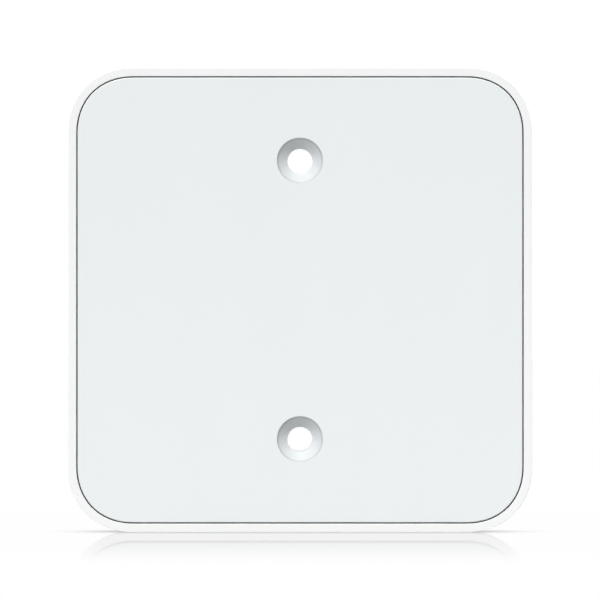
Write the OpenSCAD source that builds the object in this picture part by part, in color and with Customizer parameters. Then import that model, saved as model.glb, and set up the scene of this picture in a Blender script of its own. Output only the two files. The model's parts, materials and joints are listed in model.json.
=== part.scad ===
// Square ceiling access point, fixed straight through its face by two countersunk screws.
// Every module draws in a bench frame: the unit lies on its back, z = 0 is the ceiling plane and +z points into the room.
// stand() turns that into the part's frame: +Z up, front face towards -Y, ceiling plane on y = 0.

/* [Body] */
// Side of the square body
body_w = 100; // [99:0.5:102]
// Depth from the ceiling plane to the front face
body_d = 28; // [28:0.5:32]
// Radius of the body's four corners
corner_r = 13.4; // [12.4:0.1:14]
// Width of the rim around the front panel, which is also the wall thickness
rim_w = 1.84; // [1.7:0.02:2.1]
// Gap between the rim and the front panel
seam_w = 0.25; // [0.2:0.01:0.36]
// Rounding on the outer edge of the rim
rim_edge_r = 0.5; // [0.3:0.1:1]
// Rounding on the front panel's edge
panel_edge_r = 0.2; // [0.1:0.05:0.3]
// Thickness of the front panel
panel_t = 2.2; // [2:0.1:2.6]

/* [Ceiling fixing] */
// Distance between the two screw holes
hole_spacing = 60; // [58:0.5:62]
// Diameter of a screw hole
hole_d = 5.3; // [4.8:0.1:5.6]
// Diameter of a countersink at the front face
sink_d = 9.9; // [9:0.1:10.4]
// Outer diameter of the metal sleeve behind a countersink
sleeve_d = 8; // [7.6:0.1:8.4]

/* [Base plate] */
// How far the base plate lies behind the ceiling plane
base_inset = 0.5; // [0.4:0.1:0.7]
// Thickness of the base plate
base_t = 2.2; // [2:0.1:2.4]
// Width of the cable channel to the side wall
channel_w = 7.4; // [7:0.1:8]
// Depth of the cable channel below the ceiling plane
channel_d = 8; // [7.5:0.1:8.5]

/* [Moving parts] */
// Diameter of the reset button, which a pen tip presses
button_d = 1.8; // [1.6:0.1:2]
// Travel of the reset button
button_travel = 0.3; // [0.2:0.05:0.4]
// Play around a moving part
play = 0.2; // [0.15:0.01:0.25]

/* [Hidden] */
$fn = 96;
eps = 0.01;

// Shell and seam
in_w = body_w - 2 * rim_w;
in_r = corner_r - rim_w;
panel_w = in_w - 2 * seam_w;
panel_r = in_r - seam_w;
panel_z = body_d - panel_t;
gasket_t = 0.8;
ledge_w = 1.85;
ledge_t = 1.8;
ledge_z = panel_z - gasket_t;
skirt_t = 1.2;
skirt_w = in_w - 2 * ledge_w - 2 * play;
skirt_r = in_r - ledge_w - play;
skirt_z = ledge_z - ledge_t - 0.8;
boss_top = skirt_z - 0.3;

// Screw holes
hole_y = hole_spacing / 2;
sink_h = (sink_d - hole_d) / 2;
boss_d = 13;
boss_z = panel_z - 4.3;

// Base plate
base_w = in_w - 2 * play;
base_r = in_r - play;
base_z = base_inset + base_t;
corner_screw = 41;
corner_boss_r = 3.4;
screw_pilot_d = 2.1;
pad_d = 8;
pad_t = 1.2;
pad_x = 28;
pad_y = 41;

// Board: everything on its ceiling side hangs below board_z, everything on its room side starts at board_top
board_w = 90;
board_r = 7.5;
board_t = 1.6;
jack_h = 13;
jack_z = base_z + 0.7;
board_z = jack_z + jack_h;
board_top = board_z + board_t;
stud_x = 41.5;
stud_y = 15;

// Socket and the pocket that the plug lies in
jack_w = 16;
jack_l = 21;
pocket_x0 = -38;
pocket_x1 = 8.4;
pocket_w = 24;
pocket_wall = 1.4;
pocket_floor = 1.2;
pocket_z = board_z - 0.2 - pocket_floor;
jack_x = pocket_x1 + 0.4;
jack_skin = 0.35;
port_w = 11.9;
port_h = 6.8;
port_l = 14;
port_z = jack_z + 3.6;
tab_w = 6.4;
contact_pitch = 1.02;

// Slide-out cover in the side wall
cover_w = channel_w + 3.6;
cover_h = channel_d + 0.5;
tongue_w = 0.9;
tongue_t = 0.6;

// Reset button
button_x = 22;
button_y = -15;
flange_d = 3.6;
switch_h = 3.5;
stem_d = 3.4;
stem_z = board_z - switch_h - 0.5;

// Shields, chips and heat sink on the ceiling side
can_h = 2.4;
can_t = 0.3;
can_w = 27;
can_l = 22;
can_x = 22.5;
can_y = 30;
can_2g_w = 24;
can_2g_l = 19;
can_2g_x = -24;
can_2g_y = -32;
chip_h = 1.2;
pad_gap = 1;
sink_plate_t = 2;
sink_plate_z = board_z - can_h - pad_gap - sink_plate_t;
sink_x = 36.5;
sink_y0 = 14.2;
sink_y1 = 45;
fin_t = 1.2;
fin_pitch = 3.4;
fins_per_bank = 8;
fin_z = base_z + 1.3;
pillar_x = 33.5;
pillar_y = [16.3, 43.3];

// Parts with two rows of leads on the ceiling side
magnetics_x = 38;
magnetics_w = 9.4;
flash_at = [-35, -17.5];
flash_w = 4.1;
driver_at = [[10.5, -33.5], [34.5, -18.6]];
driver_w = 3.2;

// Antennas and light pipe on the room side
antenna_t = 0.4;
antenna_z = board_top + 6;
led_h = 0.9;

module stand() {
    rotate([90, 0, 0]) children();
}

// ---- shared shapes ----

module rounded_square(w, l, r) {
    square([w - 2 * r, l], center = true);
    square([w, l - 2 * r], center = true);
    for (sx = [-1, 1], sy = [-1, 1])
        translate([sx * (w / 2 - r), sy * (l / 2 - r)]) circle(r);
}

// Straight-sided slab between two heights
module slab(w, l, r, z0, z1) {
    translate([0, 0, z0]) linear_extrude(z1 - z0) rounded_square(w, l, r);
}

// Straight-sided ring between two heights
module ring(w_out, r_out, w_in, r_in, z0, z1) {
    translate([0, 0, z0]) linear_extrude(z1 - z0) difference() {
        rounded_square(w_out, w_out, r_out);
        rounded_square(w_in, w_in, r_in);
    }
}

// Half of a slab's cross-section from its middle out to x, with its upper edge rounded
module half_section(x, t, edge) {
    square([x, t - edge]);
    square([x - edge, t]);
    translate([x - edge, t - edge]) circle(edge);
}

// Square slab with round corners and a rounded upper edge
module soft_slab(w, r, t, edge) {
    for (turn = [0, 90])
        rotate([0, 0, turn]) rotate([90, 0, 0]) linear_extrude(w - 2 * r, center = true)
            for (side = [0, 1]) mirror([side, 0]) half_section(w / 2, t, edge);
    for (sx = [-1, 1], sy = [-1, 1])
        translate([sx * (w / 2 - r), sy * (w / 2 - r), 0]) rotate_extrude() half_section(r, t, edge);
}

module at_corners(x, y) {
    for (sx = [-1, 1], sy = [-1, 1]) translate([sx * x, sy * y, 0]) children();
}

module at_screw_holes() {
    for (sy = [-1, 1]) translate([0, sy * hole_y, 0]) children();
}

module tube(d_out, d_in, z0, z1) {
    translate([0, 0, z0]) difference() {
        cylinder(d = d_out, h = z1 - z0);
        translate([0, 0, -1]) cylinder(d = d_in, h = z1 - z0 + 2);
    }
}

module rod(d, z0, z1) {
    translate([0, 0, z0]) cylinder(d = d, h = z1 - z0);
}

module box(x0, x1, y0, y1, z0, z1) {
    translate([x0, y0, z0]) cube([x1 - x0, y1 - y0, z1 - z0]);
}

// Block centred on x, y between two heights
module block(w, l, z0, z1) {
    translate([-w / 2, -l / 2, z0]) cube([w, l, z1 - z0]);
}

// Slot with round ends along y, between two heights
module slot(w, l, z0, z1) {
    slab(w, l, w / 2 - eps, z0, z1);
}

// Pan-head screw with a cross recess: its seat is at z = 0, its head above and its shank below
module screw(head_d, head_h, shank_d, shank_l) {
    difference() {
        union() {
            rod(head_d, 0, head_h - 0.3);
            translate([0, 0, head_h - 0.3]) cylinder(d1 = head_d, d2 = head_d - 0.7, h = 0.3);
            rod(shank_d, -shank_l, eps);
        }
        for (turn = [0, 90]) rotate([0, 0, turn]) block(head_d * 0.56, 0.55, head_h * 0.4, head_h + 1);
    }
    for (k = [1 : floor(shank_l / 0.9) - 1])
        translate([0, 0, -k * 0.9]) cylinder(d1 = shank_d, d2 = shank_d + 0.06, h = 0.35);
}

// ---- shells ----

module vent_row() {
    vent_w = 1.5;
    vent_pitch = 3.6;
    vents = 17;
    for (k = [0 : vents - 1])
        translate([(k - (vents - 1) / 2) * vent_pitch, 0, 0])
            rotate([90, 0, 0]) translate([0, 0, -rim_w * 2]) slot(vent_w, 5.6, 0, rim_w * 4);
}

module housing() {
    notch_w = cover_w + 2 * play;
    color([0.955, 0.96, 0.96]) difference() {
        union() {
            difference() {
                soft_slab(body_w, corner_r, body_d, rim_edge_r);
                slab(in_w, in_w, in_r, -1, body_d + 1);
            }
            ring(in_w + 1, in_r + 0.5, in_w - 2 * ledge_w, in_r - ledge_w, ledge_z - ledge_t, ledge_z);
            at_corners(corner_screw, corner_screw) rod(2 * corner_boss_r, base_z, boss_top);
            for (turn = [45 : 90 : 315])
                rotate([0, 0, turn])
                    box(corner_screw * sqrt(2), (body_w / 2 - corner_r) * sqrt(2) + corner_r - 1,
                        -0.8, 0.8, base_z, boss_top);
        }
        at_corners(corner_screw, corner_screw) rod(screw_pilot_d, -1, base_z + 9);
        for (side = [-1, 1]) translate([0, side * body_w / 2, 7]) vent_row();
        box(-body_w, -in_w / 2 + 1, -notch_w / 2, notch_w / 2, -1, cover_h + play);
        box(-body_w / 2 + 0.5, -body_w / 2 + 0.5 + tongue_t + play, -notch_w / 2 - tongue_w,
            notch_w / 2 + tongue_w, -1, cover_h + play);
    }
}

module front_panel() {
    hook_w = 8;
    color([0.925, 0.938, 0.942]) difference() {
        union() {
            translate([0, 0, panel_z]) soft_slab(panel_w, panel_r, panel_t, panel_edge_r);
            ring(skirt_w, skirt_r, skirt_w - 2 * skirt_t, skirt_r - skirt_t, skirt_z, panel_z + eps);
            at_screw_holes() rod(boss_d, boss_z, panel_z + eps);
            rod(6, panel_z - 2, panel_z + eps);
            for (turn = [0 : 90 : 270], side = [-1, 1])
                rotate([0, 0, turn]) translate([side * 24, skirt_w / 2 - skirt_t, 0])
                    rotate([90, 0, 90]) linear_extrude(hook_w, center = true)
                        polygon([[0, skirt_z], [skirt_t, skirt_z], [skirt_t + 0.6, skirt_z + 0.55],
                            [skirt_t + 0.6, ledge_z - ledge_t - 0.1], [0, ledge_z - ledge_t - 0.1]]);
            for (x = [-30, -15, 15, 30])
                box(x - 0.5, x + 0.5, -skirt_w / 2 + eps, skirt_w / 2 - eps, panel_z - 0.8, panel_z + eps);
        }
        at_screw_holes() {
            rod(hole_d, boss_z - 1, body_d + 1);
            translate([0, 0, body_d - sink_h]) cylinder(d1 = hole_d, d2 = sink_d, h = sink_h);
        }
        rod(3.2, panel_z - 3, body_d - 0.7);
    }
}

module panel_gasket() {
    color([0.16, 0.17, 0.17])
        ring(in_w - 0.1, in_r - 0.05, in_w - 2 * ledge_w + 0.2, in_r - ledge_w + 0.1, ledge_z, panel_z);
}

module pocket_shape(grow, z0, z1) {
    x0 = pocket_x0 - grow;
    x1 = pocket_x1 + grow;
    translate([(x0 + x1) / 2, 0, 0]) slab(x1 - x0, pocket_w + 2 * grow, 2 + grow, z0, z1);
}

module channel_shape(grow, z0, z1) {
    box(-base_w, pocket_x0 + 1, -channel_w / 2 - grow, channel_w / 2 + grow, z0, z1);
}

// Slots between the heat sink's fins, which stop short of the rubber pads
module base_vents() {
    vent_l = 17;
    vent_y = 28;
    for (side = [-1, 1], k = [0 : fins_per_bank - 1])
        translate([side * (10.5 + k * fin_pitch), vent_y, 0]) slot(1.6, vent_l, -1, base_z + 1);
}

module base_plate() {
    color([0.93, 0.935, 0.935]) difference() {
        union() {
            slab(base_w, base_w, base_r, base_inset, base_z);
            pocket_shape(pocket_wall, base_inset, pocket_z + pocket_floor);
            intersection() {
                channel_shape(1.2, base_inset, channel_d + pocket_floor);
                slab(base_w, base_w, base_r, 0, body_d);
            }
            at_screw_holes() rod(sleeve_d + 3.5, base_z - eps, base_z + 4.8);
            at_corners(stud_x, stud_y) rod(5, base_z - eps, board_z);
            translate([button_x, button_y, 0]) rod(flange_d + 2.4, base_z - eps, base_z + 4.5);
        }
        pocket_shape(0, -1, pocket_z);
        channel_shape(0, -1, channel_d);
        box(pocket_x1 - 1, pocket_x1 + 3, -jack_w / 2 - 0.2, jack_w / 2 + 0.2, jack_z - 0.2, pocket_z + 2);
        at_screw_holes() rod(sleeve_d + 0.1, -1, base_z + 6);
        at_corners(corner_screw, corner_screw) {
            rod(2.8, -1, base_z + 1);
            rod(5.2, -1, base_inset + 1.3);
        }
        at_corners(stud_x, stud_y) rod(1.7, board_z - 7, board_z + 1);
        at_corners(pad_x, pad_y) rod(pad_d + 0.2, -1, pad_t);
        base_vents();
        translate([button_x, button_y, 0]) {
            rod(button_d + 2 * play, -1, base_z + 1);
            rod(flange_d + 2 * play, base_z, base_z + 6);
        }
    }
}

module screw_sleeves() {
    color([0.8, 0.81, 0.82]) at_screw_holes() tube(sleeve_d, hole_d, 0, boss_z);
}

module housing_screws() {
    color([0.72, 0.73, 0.74]) at_corners(corner_screw, corner_screw)
        translate([0, 0, base_inset + 1.3]) mirror([0, 0, 1]) screw(4.8, 1.1, 2, 8.4);
}

module rubber_pads() {
    color([0.22, 0.23, 0.24]) at_corners(pad_x, pad_y) rod(pad_d, 0, pad_t);
}

module rating_label() {
    color([0.98, 0.98, 0.98]) translate([24, -27, 0]) slab(30, 13, 1, base_inset - 0.15, base_inset);
}

// ---- moving parts ----

module cable_exit_cover() {
    slot_x = -body_w / 2 + 0.5 + play / 2;
    color([0.955, 0.96, 0.96]) difference() {
        union() {
            box(-body_w / 2, -in_w / 2 - 0.15, -cover_w / 2, cover_w / 2, 0.15, cover_h);
            box(slot_x, slot_x + tongue_t, -cover_w / 2 - tongue_w, cover_w / 2 + tongue_w, 0.15, cover_h - 0.2);
        }
        for (k = [0 : 2])
            box(-body_w, -body_w / 2 + 0.35, -2.5, 2.5, 1.6 + 1.2 * k, 2.1 + 1.2 * k);
    }
}

module reset_button() {
    color([0.2, 0.21, 0.22]) translate([button_x, button_y, 0]) difference() {
        union() {
            rod(button_d, base_inset + 0.4, base_z + 0.4);
            rod(flange_d, base_z + 0.1, base_z + 1.1);
            rod(flange_d - 1, base_z + 1, stem_z);
        }
        translate([0, 0, base_inset - 1.35]) sphere(d = 4);
    }
}

module switch_stem() {
    color([0.1, 0.1, 0.1]) translate([button_x, button_y, 0]) rod(stem_d, stem_z, stem_z + 1.2);
}

// ---- board and socket ----

module reset_switch() {
    color([0.3, 0.3, 0.31]) translate([button_x, button_y, 0]) difference() {
        block(6, 6, board_z - switch_h, board_z);
        rod(stem_d + 0.2, stem_z - 1, stem_z + 1.2 + button_travel + 0.1);
    }
}

module main_board() {
    color([0.05, 0.22, 0.14]) difference() {
        slab(board_w, board_w, board_r, board_z, board_top);
        at_corners(corner_screw, corner_screw) rod(8.6, board_z - 1, board_top + 1);
        at_screw_holes() rod(sleeve_d + 2, board_z - 1, board_top + 1);
        at_corners(stud_x, stud_y) rod(2.5, board_z - 1, board_top + 1);
        for (sx = [-1, 1], y = pillar_y) translate([sx * pillar_x, y, 0]) rod(2.1, board_z - 1, board_top + 1);
        translate([0, 0, -0.5]) jack_legs(0.1);
    }
}

module board_screws() {
    color([0.72, 0.73, 0.74]) at_corners(stud_x, stud_y)
        translate([0, 0, board_top]) screw(4, 1.3, 1.6, 6.4);
}

// The shell's four legs, or with some play the slots that they go through
module jack_legs(grow) {
    for (side = [-1, 1], x = [4.8, 13.8])
        translate([jack_x + x, side * (jack_w / 2 - 0.2), 0])
            block(1.6 + 2 * grow, 0.3 + 2 * grow, board_z - eps, board_top + 1.2);
}

module jack_shell() {
    color([0.78, 0.79, 0.8]) difference() {
        union() {
            box(jack_x, jack_x + jack_l, -jack_w / 2, jack_w / 2, jack_z, board_z);
            jack_legs(0);
        }
        box(jack_x + jack_skin, jack_x + jack_l - jack_skin, -jack_w / 2 + jack_skin, jack_w / 2 - jack_skin,
            jack_z + jack_skin, board_z + eps);
        box(jack_x - 1, jack_x + 1, -port_w / 2 - 0.4, port_w / 2 + 0.4, port_z - 0.4, port_z + port_h + 0.4);
        box(jack_x - 1, jack_x + 1, -tab_w / 2 - 0.3, tab_w / 2 + 0.3, jack_z + 1.2, port_z);
    }
}

module jack_insert() {
    gap = jack_skin + 0.05;
    color([0.09, 0.09, 0.1]) difference() {
        box(jack_x + gap, jack_x + jack_l - gap, -jack_w / 2 + gap, jack_w / 2 - gap, jack_z + gap, board_z);
        box(jack_x - 1, jack_x + port_l, -port_w / 2, port_w / 2, port_z, port_z + port_h);
        box(jack_x - 1, jack_x + port_l - 3, -tab_w / 2, tab_w / 2, jack_z + 1.5, port_z + eps);
        box(jack_x + 3, jack_x + port_l, -contact_pitch * 4.2, contact_pitch * 4.2, port_z, port_z + port_h + 1);
    }
}

module jack_contacts() {
    wire = 0.34;
    top_z = port_z + port_h + 1;
    color([0.85, 0.68, 0.32]) for (k = [0 : 7])
        translate([0, (k - 3.5) * contact_pitch + wire / 2, 0]) rotate([90, 0, 0]) linear_extrude(wire)
            polygon([[jack_x + 4, top_z], [jack_x + 4, top_z - 0.35], [jack_x + port_l - 3, top_z - 3.2],
                [jack_x + port_l - 2.7, top_z - 3.2], [jack_x + port_l - 2.4, top_z - 2.9],
                [jack_x + port_l - 2.9, top_z - 2.7], [jack_x + 5.2, top_z]]);
}

// ---- parts on the board's ceiling side: each block ends on the board's lower face ----

module hung(x, y, h) {
    translate([x, y, board_z - h]) children();
}

module lan_magnetics() {
    color([0.1, 0.1, 0.11]) hung(magnetics_x, 0, 5.6) block(magnetics_w, 15.4, 0.2, 5.2);
}

// Two rows of flat leads against the sides of a part that is part_w wide
module lead_rows(x, y, count, pitch, part_w) {
    for (side = [0, 1], k = [0 : count - 1])
        translate([x, y + (k - (count - 1) / 2) * pitch, 0]) mirror([side, 0, 0])
            translate([part_w / 2, 0, 0]) {
                box(0, 1.2, -0.21, 0.21, board_z - 0.2, board_z);
                box(0, 0.25, -0.21, 0.21, board_z - 1, board_z);
            }
}

module chip_leads() {
    color([0.8, 0.8, 0.78]) {
        lead_rows(magnetics_x, 0, 12, 1.2, magnetics_w);
        lead_rows(flash_at[0], flash_at[1], 4, 1.27, flash_w);
        for (c = driver_at) lead_rows(c[0], c[1], 4, 1.27, driver_w);
    }
}

module transformer_core() {
    color([0.2, 0.2, 0.21]) translate([24, -31, 0]) difference() {
        block(17, 12, board_z - 11, board_z - 1);
        block(12.6, 13, board_z - 8.6, board_z - 3.4);
    }
}

module transformer_winding() {
    color([0.86, 0.7, 0.2]) translate([24, -31, 0]) {
        block(12.4, 15.2, board_z - 8.4, board_z - 3.6);
        for (side = [-1, 1]) translate([0, side * 7, 0]) block(15, 1.6, board_z - 3.6, board_z);
    }
}

capacitor_at = [[10.8, -22.6, 6.3, 7.6], [38.6, -25.6, 8, 10], [39, -33.4, 6.3, 7.6], [-11.5, -17.6, 5, 5.4]];

module capacitor_cans() {
    color([0.8, 0.81, 0.83]) for (c = capacitor_at) hung(c[0], c[1], c[3]) difference() {
        union() {
            rod(c[2], 0.3, c[3] - 0.8);
            cylinder(d1 = c[2] - 0.6, d2 = c[2], h = 0.3 + eps);
        }
        for (turn = [0, 90]) rotate([0, 0, turn + 45]) block(c[2] * 0.6, 0.25, -1, 0.12);
    }
}

module capacitor_bases() {
    color([0.08, 0.08, 0.09]) for (c = capacitor_at)
        hung(c[0], c[1], 0.8) block(c[2] + 0.3, c[2] + 0.3, 0, 0.8);
}

module power_inductors() {
    color([0.24, 0.24, 0.26]) for (p = [[10.5, -42], [19.3, -42], [28.1, -42]])
        hung(p[0], p[1], 3.2) slab(5.4, 5.4, 0.8, 0, 3.2);
}

module power_chips() {
    color([0.11, 0.11, 0.12]) {
        for (c = driver_at) hung(c[0], c[1], 1.5) block(driver_w, 5, 0.1, 1.4);
        hung(33, -13, 0.9) block(3.4, 3.4, 0, 0.9);
        hung(14, -13, 0.9) block(4, 4, 0, 0.9);
    }
}

module wifi_processor() {
    color([0.12, 0.12, 0.13]) hung(-can_x - 3, can_y, chip_h) block(15, 15, 0, chip_h);
}

module memory_chip() {
    color([0.1, 0.1, 0.11]) hung(-can_x + 8.6, can_y, chip_h) block(7, 12, 0, chip_h);
}

module flash_chip() {
    color([0.1, 0.1, 0.11]) hung(flash_at[0], flash_at[1], 1.7) block(flash_w, 5.2, 0.1, 1.6);
}

module radio_chip_5g() {
    color([0.12, 0.12, 0.13]) hung(can_x, can_y, chip_h) block(11, 11, 0, chip_h);
}

module radio_chip_2g() {
    color([0.12, 0.12, 0.13]) hung(can_2g_x, can_2g_y, chip_h) block(9, 9, 0, chip_h);
}

// Tinned shield can, open towards the board, with a grid of small round vents at one end
module shield_can(x, y, w, l) {
    color([0.82, 0.83, 0.84]) hung(x, y, can_h) difference() {
        slab(w, l, 1, 0, can_h);
        slab(w - 2 * can_t, l - 2 * can_t, 0.7, can_t, can_h + 1);
        for (i = [-2 : 2], j = [-1 : 1])
            translate([i * (w - 6) / 4, j * (l - 6) / 2, 0]) rod(1.2, -1, 1);
    }
}

module processor_shield() {
    shield_can(-can_x, can_y, can_w, can_l);
}

module radio_shield_5g() {
    shield_can(can_x, can_y, can_w, can_l);
}

module radio_shield_2g() {
    shield_can(can_2g_x, can_2g_y, can_2g_w, can_2g_l);
}

module chip_thermal_pads() {
    z0 = board_z - can_h + can_t;
    z1 = board_z - chip_h;
    color([0.55, 0.62, 0.68]) {
        translate([-can_x - 3, can_y, 0]) block(14, 14, z0, z1);
        translate([can_x, can_y, 0]) block(10, 10, z0, z1);
        translate([can_2g_x, can_2g_y, 0]) block(8, 8, z0, z1);
    }
}

module shield_thermal_pads() {
    color([0.55, 0.62, 0.68]) for (side = [-1, 1])
        translate([side * can_x, can_y, 0])
            block(18, 16, board_z - can_h - pad_gap, board_z - can_h);
}

module heat_sink() {
    mid_y = (sink_y0 + sink_y1) / 2;
    color([0.62, 0.63, 0.65]) difference() {
        union() {
            translate([0, mid_y, 0])
                slab(2 * sink_x, sink_y1 - sink_y0, 2, sink_plate_z, sink_plate_z + sink_plate_t);
            for (side = [-1, 1], k = [0 : fins_per_bank - 1])
                translate([side * (10.5 + 1.7 + k * fin_pitch), mid_y, 0])
                    block(fin_t, sink_y1 - sink_y0 - 3, fin_z, sink_plate_z + eps);
            for (sx = [-1, 1], y = pillar_y)
                translate([sx * pillar_x, y, 0]) rod(3.4, sink_plate_z + eps, board_z);
        }
        translate([0, hole_y, 0]) rod(sleeve_d + 5, 0, board_z + 1);
        for (sx = [-1, 1], y = pillar_y)
            translate([sx * pillar_x, y, 0]) rod(1.5, sink_plate_z + 0.8, board_z + 1);
    }
}

module heat_sink_screws() {
    color([0.72, 0.73, 0.74]) for (sx = [-1, 1], y = pillar_y)
        translate([sx * pillar_x, y, board_top]) screw(3.2, 1.1, 1.4, 4.2);
}

// ---- parts on the board's room side ----

// Stamped antenna: a slotted plate held above the board by a feed leg and a ground leg
module antenna(w, l, slot_l) {
    leg_w = 1.8;
    difference() {
        block(w, l, antenna_z, antenna_z + antenna_t);
        translate([w / 2 - 3.4, l / 2 - slot_l / 2, 0]) block(1.2, slot_l + eps, antenna_z - 1, antenna_z + 1);
        translate([-w / 4, 0, 0]) slot(1.4, l * 0.5, antenna_z - 1, antenna_z + 1);
    }
    for (x = [w / 2 - leg_w / 2, w / 2 - leg_w / 2 - 4.2])
        translate([x, -l / 2 + antenna_t / 2, 0]) {
            block(leg_w, antenna_t, board_top, antenna_z + eps);
            translate([0, 0.8, 0]) block(leg_w, 2, board_top, board_top + antenna_t);
        }
}

module antenna_2g_left() {
    color([0.8, 0.8, 0.76]) translate([-38, 0, 0]) antenna(9, 22, 15);
}

module antenna_2g_right() {
    color([0.8, 0.8, 0.76]) translate([38, 0, 0]) rotate([0, 0, 180]) antenna(9, 22, 15);
}

module antenna_5g_upper() {
    color([0.8, 0.8, 0.76]) translate([-19, 36, 0]) rotate([0, 0, 90]) antenna(8, 14, 8);
}

module antenna_5g_lower() {
    color([0.8, 0.8, 0.76]) translate([19, -36, 0]) rotate([0, 0, -90]) antenna(8, 14, 8);
}

module bluetooth_antenna() {
    color([0.93, 0.93, 0.9]) translate([26, 41.6, 0]) block(7, 2, board_top, board_top + 1.2);
}

module status_led() {
    color([0.95, 0.95, 0.85]) block(3, 2.8, board_top, board_top + led_h);
}

module light_pipe() {
    color([0.9, 0.94, 0.97, 0.6]) {
        rod(3, board_top + led_h + 0.3, body_d - 0.8);
        rod(4.6, panel_z - 3, panel_z - 2);
    }
}

module crystals() {
    color([0.8, 0.8, 0.78]) {
        translate([-12, 8, 0]) slab(3.2, 2.5, 0.5, board_top, board_top + 0.8);
        translate([13, 12, 0]) slab(3.2, 2.5, 0.5, board_top, board_top + 0.8);
        hung(-18, -17.8, 0.9) slab(3.2, 2.5, 0.5, 0, 0.9);
    }
}

// Row of small chip resistors or capacitors
module chip_row(x, y, count, pitch, w, l, h) {
    for (k = [0 : count - 1]) translate([x + k * pitch, y, 0]) block(w, l, board_top, board_top + h);
}

module board_passives() {
    color([0.62, 0.54, 0.42]) {
        chip_row(-28, 18, 9, 2.1, 0.8, 1.6, 0.7);
        chip_row(12, 20, 10, 2.1, 0.8, 1.6, 0.7);
        chip_row(-30, -24, 8, 2.4, 1.2, 2, 0.9);
        chip_row(8, -16, 9, 2.1, 0.8, 1.6, 0.7);
        chip_row(-24, 4, 6, 1.8, 0.8, 1.6, 0.7);
        chip_row(12, -4, 6, 2.4, 1.2, 2, 0.9);
    }
}

module service_header() {
    pin_pitch = 2.54;
    color([0.1, 0.1, 0.11]) translate([-22, -12, 0]) difference() {
        block(4 * pin_pitch, pin_pitch, board_top, board_top + 2.5);
        for (k = [0 : 3])
            translate([(k - 1.5) * pin_pitch, 0, 0]) block(0.8, 0.8, board_top + 1, board_top + 3);
    }
}

stand() {
    housing();
    front_panel();
    panel_gasket();
    base_plate();
    screw_sleeves();
    housing_screws();
    rubber_pads();
    rating_label();
    cable_exit_cover();
    reset_button();
    switch_stem();
    reset_switch();
    main_board();
    board_screws();
    jack_shell();
    jack_insert();
    jack_contacts();
    lan_magnetics();
    chip_leads();
    transformer_core();
    transformer_winding();
    capacitor_cans();
    capacitor_bases();
    power_inductors();
    power_chips();
    wifi_processor();
    memory_chip();
    flash_chip();
    radio_chip_5g();
    radio_chip_2g();
    processor_shield();
    radio_shield_5g();
    radio_shield_2g();
    chip_thermal_pads();
    shield_thermal_pads();
    heat_sink();
    heat_sink_screws();
    antenna_2g_left();
    antenna_2g_right();
    antenna_5g_upper();
    antenna_5g_lower();
    bluetooth_antenna();
    status_led();
    light_pipe();
    crystals();
    board_passives();
    service_header();
}
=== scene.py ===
import json
import math

import bmesh
import bpy
from mathutils import Matrix, Vector

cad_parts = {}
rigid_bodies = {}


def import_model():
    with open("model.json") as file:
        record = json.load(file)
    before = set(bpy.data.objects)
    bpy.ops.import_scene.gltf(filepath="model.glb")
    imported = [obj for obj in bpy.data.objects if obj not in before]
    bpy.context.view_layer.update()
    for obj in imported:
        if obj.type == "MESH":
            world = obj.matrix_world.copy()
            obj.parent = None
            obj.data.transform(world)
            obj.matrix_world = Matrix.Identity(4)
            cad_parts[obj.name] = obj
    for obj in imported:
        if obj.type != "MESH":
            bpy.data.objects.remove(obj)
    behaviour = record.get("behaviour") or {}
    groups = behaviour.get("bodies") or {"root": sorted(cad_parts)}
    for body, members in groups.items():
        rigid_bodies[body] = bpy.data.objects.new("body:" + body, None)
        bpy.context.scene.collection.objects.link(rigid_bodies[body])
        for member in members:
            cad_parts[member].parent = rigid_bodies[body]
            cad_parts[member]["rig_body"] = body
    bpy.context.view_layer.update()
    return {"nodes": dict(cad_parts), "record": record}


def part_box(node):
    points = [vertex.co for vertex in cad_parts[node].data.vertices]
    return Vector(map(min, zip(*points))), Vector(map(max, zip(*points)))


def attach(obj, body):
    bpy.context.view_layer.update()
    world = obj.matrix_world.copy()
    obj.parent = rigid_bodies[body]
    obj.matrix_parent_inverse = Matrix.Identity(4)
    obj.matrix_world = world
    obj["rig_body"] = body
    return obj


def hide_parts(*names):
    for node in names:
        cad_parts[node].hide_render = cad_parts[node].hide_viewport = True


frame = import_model()

# Shapes are drawn on a bench: the unit lies on its back, in millimetres, with z = 0 at the ceiling plane and
# +z into the room. BENCH turns bench points into the part's frame, in metres, where the face looks along -Y.
MM = 0.001
BENCH = Matrix(((MM, 0, 0, 0), (0, 0, -MM, 0), (0, MM, 0, 0), (0, 0, 0, 1)))
record = frame["record"]
mounts = {m["name"]: m for m in record["mounts"]}
openings = {o["name"]: o["box_m"] for o in record["physics"]["openings"]}
SLOT_OF = {s["node"]: s["material_slot"] for s in record["subparts"]}


class Span:
    """A node's or opening's box in bench millimetres."""

    def __init__(self, low, high):
        self.x0, self.x1 = low[0] / MM, high[0] / MM
        self.y0, self.y1 = low[2] / MM, high[2] / MM
        self.z0, self.z1 = -high[1] / MM, -low[1] / MM
        self.x, self.y = (self.x0 + self.x1) / 2, (self.y0 + self.y1) / 2
        self.w, self.h = self.x1 - self.x0, self.y1 - self.y0


def span(node):
    return Span(*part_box(node))


# ---- sizes, in millimetres ----

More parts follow.
